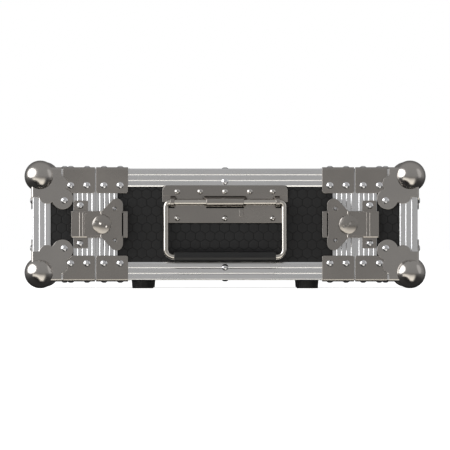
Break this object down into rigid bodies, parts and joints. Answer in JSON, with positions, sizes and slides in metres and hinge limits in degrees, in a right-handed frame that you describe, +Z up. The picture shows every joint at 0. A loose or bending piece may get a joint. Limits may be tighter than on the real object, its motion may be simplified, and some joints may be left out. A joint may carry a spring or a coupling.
{
  "type": "rack case",
  "caption": "Low 19-inch rack case for a wireless microphone set: black panels, aluminium edges, ball corners, twist latches, bail handles and pull-off end covers.",
  "frame": {"origin": "on the ground, under the middle of the case", "axes": "+X along the case from the left cover to the right cover, -Y towards the viewer of the picture, +Z up"},
  "size_m": [0.4336, 0.5362, 0.1383],
  "materials": {
    "laminate": "plywood faced with a matte black laminate embossed with hexagons",
    "aluminium": "satin anodised extrusion",
    "hardware": "satin nickel plate",
    "ball_corner": "bright nickel plate",
    "rivet": "bright zinc",
    "handle_rivet": "satin nickel plate",
    "rail": "black powder coat",
    "screw": "bright zinc",
    "rubber": "matte black",
    "foam": "matte charcoal foam"
  },
  "bodies": {
    "body": {"body_top_panel": "laminate", "body_bottom_panel": "laminate", "body_front_panel": "laminate", "body_back_panel": "laminate", "body_long_edges": "aluminium", "body_left_rim": "aluminium", "body_right_rim": "aluminium", "body_braces": "hardware", "body_rivets": "rivet", "left_rack_rails": "rail", "right_rack_rails": "rail", "rail_screws": "screw", "rubber_feet": "rubber", "foot_screws": "screw", "front_handle_base": "hardware", "front_handle_strip": "hardware", "back_handle_base": "hardware", "back_handle_strip": "hardware", "handle_rivets": "handle_rivet", "front_left_latch_base": "hardware", "front_right_latch_base": "hardware", "back_left_latch_base": "hardware", "back_right_latch_base": "hardware"},
    "front_bail": {"front_handle_bail": "hardware", "front_handle_grip": "rubber"},
    "back_bail": {"back_handle_bail": "hardware", "back_handle_grip": "rubber"},
    "left_cover": {"left_cover_end_panel": "laminate", "left_cover_walls": "laminate", "left_cover_long_edges": "aluminium", "left_cover_end_edges": "aluminium", "left_cover_rim": "aluminium", "left_cover_ball_corners": "ball_corner", "left_cover_braces": "hardware", "left_cover_keepers": "hardware", "left_cover_rivets": "rivet", "left_cover_foam": "foam"},
    "right_cover": {"right_cover_end_panel": "laminate", "right_cover_walls": "laminate", "right_cover_long_edges": "aluminium", "right_cover_end_edges": "aluminium", "right_cover_rim": "aluminium", "right_cover_ball_corners": "ball_corner", "right_cover_braces": "hardware", "right_cover_keepers": "hardware", "right_cover_rivets": "rivet", "right_cover_foam": "foam"},
    "front_left_latch_rotor": {"front_left_latch_rotor": "hardware"},
    "front_left_latch_wing": {"front_left_latch_wing": "hardware"},
    "front_left_latch_hook": {"front_left_latch_hook": "hardware"},
    "front_right_latch_rotor": {"front_right_latch_rotor": "hardware"},
    "front_right_latch_wing": {"front_right_latch_wing": "hardware"},
    "front_right_latch_hook": {"front_right_latch_hook": "hardware"},
    "back_left_latch_rotor": {"back_left_latch_rotor": "hardware"},
    "back_left_latch_wing": {"back_left_latch_wing": "hardware"},
    "back_left_latch_hook": {"back_left_latch_hook": "hardware"},
    "back_right_latch_rotor": {"back_right_latch_rotor": "hardware"},
    "back_right_latch_wing": {"back_right_latch_wing": "hardware"},
    "back_right_latch_hook": {"back_right_latch_hook": "hardware"}
  },
  "joints": [
    {"name": "front_bail_swing", "type": "hinge", "parent": "body", "child": "front_bail", "pos_m": [0, -0.2616, 0.09305], "axis": [-1, 0, 0], "range_deg": [0, 90]},
    {"name": "back_bail_swing", "type": "hinge", "parent": "body", "child": "back_bail", "pos_m": [0, 0.2616, 0.09305], "axis": [1, 0, 0], "range_deg": [0, 90]},
    {"name": "left_cover_pull", "type": "slide", "parent": "body", "child": "left_cover", "axis": [-1, 0, 0], "range_m": [0, 0.075]},
    {"name": "right_cover_pull", "type": "slide", "parent": "body", "child": "right_cover", "axis": [1, 0, 0], "range_m": [0, 0.075]},
    {"name": "front_left_latch_turn", "type": "hinge", "parent": "body", "child": "front_left_latch_rotor", "pos_m": [-0.1332, -0.256, 0.06925], "axis": [0, -1, 0], "range_deg": [0, 180]},
    {"name": "front_left_latch_wing_fold", "type": "hinge", "parent": "front_left_latch_rotor", "child": "front_left_latch_wing", "pos_m": [-0.1332, -0.264, 0.06925], "axis": [0, 0, -1], "range_deg": [0, 90]},
    {"name": "front_left_latch_hook_follow", "type": "hinge", "parent": "front_left_latch_rotor", "child": "front_left_latch_hook", "pos_m": [-0.1287, -0.256, 0.06925], "axis": [0, -1, 0], "range_deg": [-180, 0]},
    {"name": "front_right_latch_turn", "type": "hinge", "parent": "body", "child": "front_right_latch_rotor", "pos_m": [0.1332, -0.256, 0.06925], "axis": [0, 1, 0], "range_deg": [0, 180]},
    {"name": "front_right_latch_wing_fold", "type": "hinge", "parent": "front_right_latch_rotor", "child": "front_right_latch_wing", "pos_m": [0.1332, -0.264, 0.06925], "axis": [0, 0, 1], "range_deg": [0, 90]},
    {"name": "front_right_latch_hook_follow", "type": "hinge", "parent": "front_right_latch_rotor", "child": "front_right_latch_hook", "pos_m": [0.1287, -0.256, 0.06925], "axis": [0, 1, 0], "range_deg": [-180, 0]},
    {"name": "back_left_latch_turn", "type": "hinge", "parent": "body", "child": "back_left_latch_rotor", "pos_m": [-0.1332, 0.256, 0.06925], "axis": [0, -1, 0], "range_deg": [0, 180]},
    {"name": "back_left_latch_wing_fold", "type": "hinge", "parent": "back_left_latch_rotor", "child": "back_left_latch_wing", "pos_m": [-0.1332, 0.264, 0.06925], "axis": [0, 0, 1], "range_deg": [0, 90]},
    {"name": "back_left_latch_hook_follow", "type": "hinge", "parent": "back_left_latch_rotor", "child": "back_left_latch_hook", "pos_m": [-0.1287, 0.256, 0.06925], "axis": [0, -1, 0], "range_deg": [-180, 0]},
    {"name": "back_right_latch_turn", "type": "hinge", "parent": "body", "child": "back_right_latch_rotor", "pos_m": [0.1332, 0.256, 0.06925], "axis": [0, 1, 0], "range_deg": [0, 180]},
    {"name": "back_right_latch_wing_fold", "type": "hinge", "parent": "back_right_latch_rotor", "child": "back_right_latch_wing", "pos_m": [0.1332, 0.264, 0.06925], "axis": [0, 0, -1], "range_deg": [0, 90]},
    {"name": "back_right_latch_hook_follow", "type": "hinge", "parent": "back_right_latch_rotor", "child": "back_right_latch_hook", "pos_m": [0.1287, 0.256, 0.06925], "axis": [0, 1, 0], "range_deg": [-180, 0]}
  ],
  "couplings": [
    {"joint": "front_left_latch_hook_follow", "follows": "front_left_latch_turn", "ratio": -1},
    {"joint": "front_right_latch_hook_follow", "follows": "front_right_latch_turn", "ratio": -1},
    {"joint": "back_left_latch_hook_follow", "follows": "back_left_latch_turn", "ratio": -1},
    {"joint": "back_right_latch_hook_follow", "follows": "back_right_latch_turn", "ratio": -1}
  ]
}
